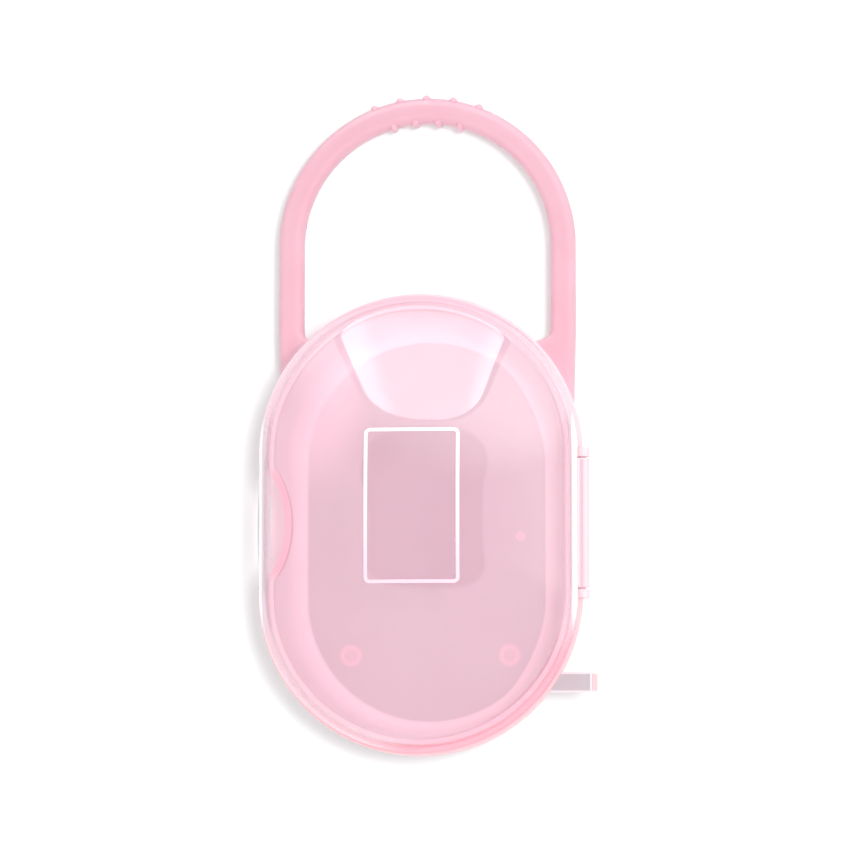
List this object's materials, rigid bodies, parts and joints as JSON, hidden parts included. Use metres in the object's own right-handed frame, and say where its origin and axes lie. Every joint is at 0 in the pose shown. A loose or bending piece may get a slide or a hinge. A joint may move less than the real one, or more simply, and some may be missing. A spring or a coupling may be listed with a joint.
{
  "type": "pacifier box",
  "caption": "Oval travel box for pacifiers: deep tray with a ribbed loop handle, and a clear domed lid that swings on a side hinge.",
  "frame": {"origin": "middle of the tray's flat back face, which faces down as the box lies on its back", "axes": "+X across the box towards the lid's hinge, +Y along the box towards the carry handle, +Z from the tray's back up to the lid"},
  "size_m": [0.077, 0.1531, 0.0503],
  "materials": {
    "pink_plastic": "milky translucent pink moulding with a soft satin sheen",
    "clear_plastic": "clear glossy moulding with a light pink tint",
    "white_print": "white ink printed on the lid"
  },
  "bodies": {
    "base": {"base_tray": "pink_plastic", "carry_handle": "pink_plastic", "hinge_pin": "pink_plastic"},
    "cover": {"lid": "clear_plastic"}
  },
  "joints": [
    {"name": "lid_hinge", "type": "hinge", "parent": "base", "child": "cover", "pos_m": [0.0366, 0, 0.028], "axis": [0, 1, 0], "range_deg": [0, 170]}
  ]
}
